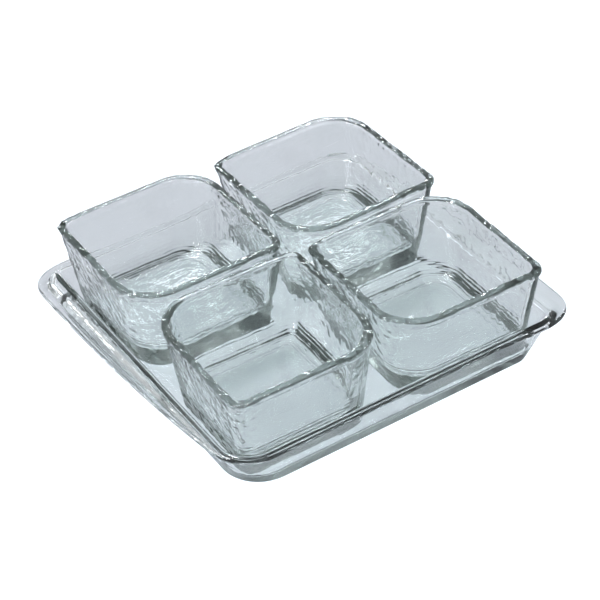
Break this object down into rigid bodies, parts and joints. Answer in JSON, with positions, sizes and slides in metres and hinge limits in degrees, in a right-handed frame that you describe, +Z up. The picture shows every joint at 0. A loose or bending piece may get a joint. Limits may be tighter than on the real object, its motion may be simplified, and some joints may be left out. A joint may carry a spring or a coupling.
{
  "type": "appetizer dish",
  "caption": "Clear pressed glass appetizer set: square two-handled tray with rounded and tight corners, and loose square bowls that lift out of its well.",
  "frame": {"origin": "middle of the tray's underside, on the table", "axes": "+X runs from the left handle to the right handle, +Y from the plain front side to the plain back side, +Z up"},
  "size_m": [0.2722, 0.246, 0.0742],
  "materials": {
    "tray_glass": "clear pressed glass, fire polished, glossy",
    "bowl_glass": "clear pressed glass with faint ripples, fire polished, glossy"
  },
  "bodies": {
    "tray": {"tray": "tray_glass"},
    "bowl_front": {"bowl_front": "bowl_glass"},
    "bowl_left": {"bowl_left": "bowl_glass"},
    "bowl_back": {"bowl_back": "bowl_glass"},
    "bowl_right": {"bowl_right": "bowl_glass"}
  },
  "joints": [
    {"name": "bowl_front_lift", "type": "slide", "parent": "tray", "child": "bowl_front", "axis": [0, 0, 1], "range_m": [0, 0.06]},
    {"name": "bowl_left_lift", "type": "slide", "parent": "tray", "child": "bowl_left", "axis": [0, 0, 1], "range_m": [0, 0.06]},
    {"name": "bowl_back_lift", "type": "slide", "parent": "tray", "child": "bowl_back", "axis": [0, 0, 1], "range_m": [0, 0.06]},
    {"name": "bowl_right_lift", "type": "slide", "parent": "tray", "child": "bowl_right", "axis": [0, 0, 1], "range_m": [0, 0.06]}
  ]
}
